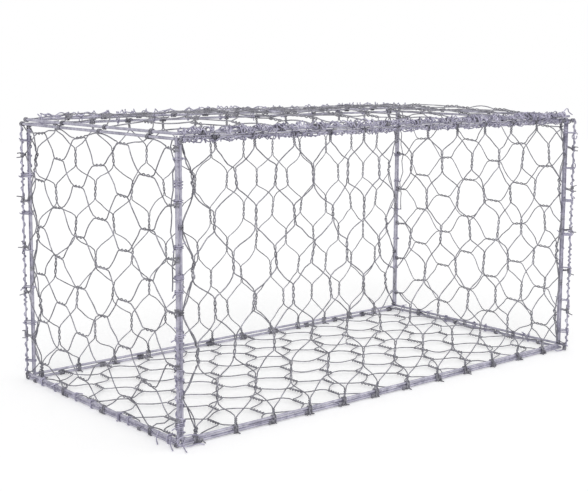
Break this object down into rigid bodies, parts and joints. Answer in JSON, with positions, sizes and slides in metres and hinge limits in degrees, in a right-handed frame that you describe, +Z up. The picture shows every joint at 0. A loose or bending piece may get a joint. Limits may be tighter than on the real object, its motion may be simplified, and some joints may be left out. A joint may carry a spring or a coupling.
{
  "type": "gabion basket",
  "caption": "Box-shaped gabion basket of woven double-twist hexagonal wire mesh on rod edges, with wire ties and a hinged mesh lid.",
  "frame": {"origin": "on the ground, under the middle of the basket, half way along, across and between the two overhanging end panels", "axes": "+X along the length to the right end, +Y from the front wall to the back wall, +Z up"},
  "size_m": [1.0096, 0.5408, 0.5099],
  "materials": {
    "mesh_wire": "galvanised, dull",
    "edge_rod": "galvanised, satin",
    "side_wire": "galvanised, satin",
    "tie_wire": "galvanised, dull"
  },
  "bodies": {
    "basket": {"back_bottom_rod": "edge_rod", "back_left_rod": "edge_rod", "back_left_ties": "tie_wire", "back_mesh": "mesh_wire", "back_right_rod": "edge_rod", "back_right_ties": "tie_wire", "back_top_rod": "edge_rod", "base_back_rod": "edge_rod", "base_front_rod": "edge_rod", "base_left_rod": "edge_rod", "base_mesh": "mesh_wire", "base_right_rod": "edge_rod", "front_bottom_rod": "edge_rod", "front_left_rod": "edge_rod", "front_left_ties": "tie_wire", "front_mesh": "mesh_wire", "front_right_rod": "edge_rod", "front_right_ties": "tie_wire", "front_top_rod": "edge_rod", "hinge_loops": "tie_wire", "left_bottom_ties": "tie_wire", "left_end_bottom_rod": "edge_rod", "left_end_corner_rod": "edge_rod", "left_end_mesh": "mesh_wire", "left_end_side_wire": "side_wire", "left_end_top_rod": "edge_rod", "right_bottom_ties": "tie_wire", "right_end_bottom_rod": "edge_rod", "right_end_corner_rod": "edge_rod", "right_end_mesh": "mesh_wire", "right_end_side_wire": "side_wire", "right_end_top_rod": "edge_rod"},
    "lid": {"lid_back_rod": "edge_rod", "lid_front_rod": "edge_rod", "lid_left_rod": "edge_rod", "lid_mesh": "mesh_wire", "lid_right_rod": "edge_rod"}
  },
  "joints": [
    {"name": "lid_hinge", "type": "hinge", "parent": "basket", "child": "lid", "pos_m": [0, 0.25, 0.50485], "axis": [-1, 0, 0], "range_deg": [0, 180]}
  ]
}
